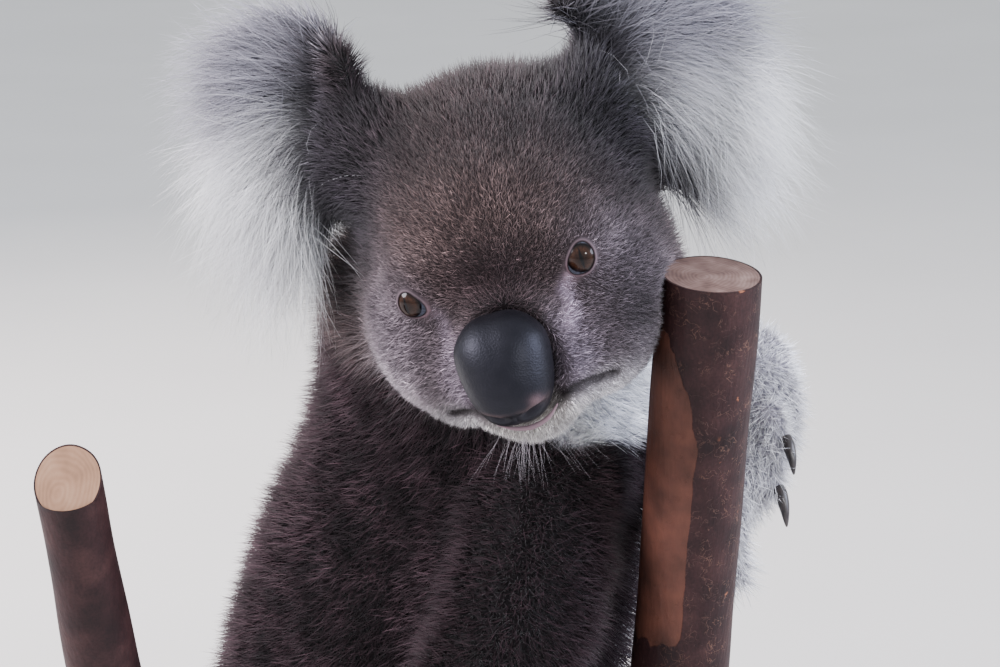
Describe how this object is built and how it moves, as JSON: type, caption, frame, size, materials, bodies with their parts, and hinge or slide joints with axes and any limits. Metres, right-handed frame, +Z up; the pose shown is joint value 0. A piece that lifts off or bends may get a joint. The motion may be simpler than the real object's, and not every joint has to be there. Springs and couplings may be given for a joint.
{
  "type": "koala",
  "caption": "Life-size koala sitting in the fork of a cut branch, gripping its upright pole, head turned to one side, on a flat display base with short rods.",
  "frame": {"origin": "centre of the base's underside", "axes": "+X the way the chest faces, towards the upright pole; -Y the way the face looks; +Z up"},
  "size_m": [0.43, 0.35, 0.6339],
  "materials": {
    "coat": "dense woolly fur, dark grey-brown on the body, grey on the face, white on chest, chin and ear fringes",
    "nose_leather": "bare black pebbled skin with a soft bluish sheen",
    "eye": "wet glossy brown eye with an upright slit pupil",
    "claw_horn": "dark horn, satin",
    "bark": "thin red-brown bark, peeled smooth in patches, pale cut ends with rings",
    "stand_board": "matte warm-grey paint",
    "stand_rod": "satin grey paint"
  },
  "bodies": {
    "root": {"head": "coat", "neck": "coat", "trunk": "coat", "ear_left": "coat", "ear_right": "coat", "upper_arm_left": "coat", "upper_arm_right": "coat", "forearm_left": "coat", "forearm_right": "coat", "hand_left": "coat", "hand_right": "coat", "thigh_left": "coat", "thigh_right": "coat", "shin_left": "coat", "shin_right": "coat", "foot_left": "coat", "foot_right": "coat", "nose": "nose_leather", "eye_left": "eye", "eye_right": "eye", "claw_hand_right_1": "claw_horn", "claw_hand_right_2": "claw_horn", "claw_hand_right_3": "claw_horn", "claw_hand_right_4": "claw_horn", "claw_hand_right_5": "claw_horn", "claw_hand_left_1": "claw_horn", "claw_hand_left_2": "claw_horn", "claw_hand_left_3": "claw_horn", "claw_hand_left_4": "claw_horn", "claw_hand_left_5": "claw_horn", "claw_foot_right_1": "claw_horn", "claw_foot_right_2": "claw_horn", "claw_foot_right_3": "claw_horn", "claw_foot_right_4": "claw_horn", "claw_foot_left_1": "claw_horn", "claw_foot_left_2": "claw_horn", "claw_foot_left_3": "claw_horn", "claw_foot_left_4": "claw_horn", "perch_pole": "bark", "perch_limb": "bark", "stand_base": "stand_board", "stand_rod_pole": "stand_rod", "stand_rod_limb": "stand_rod"}
  },
  "joints": []
}
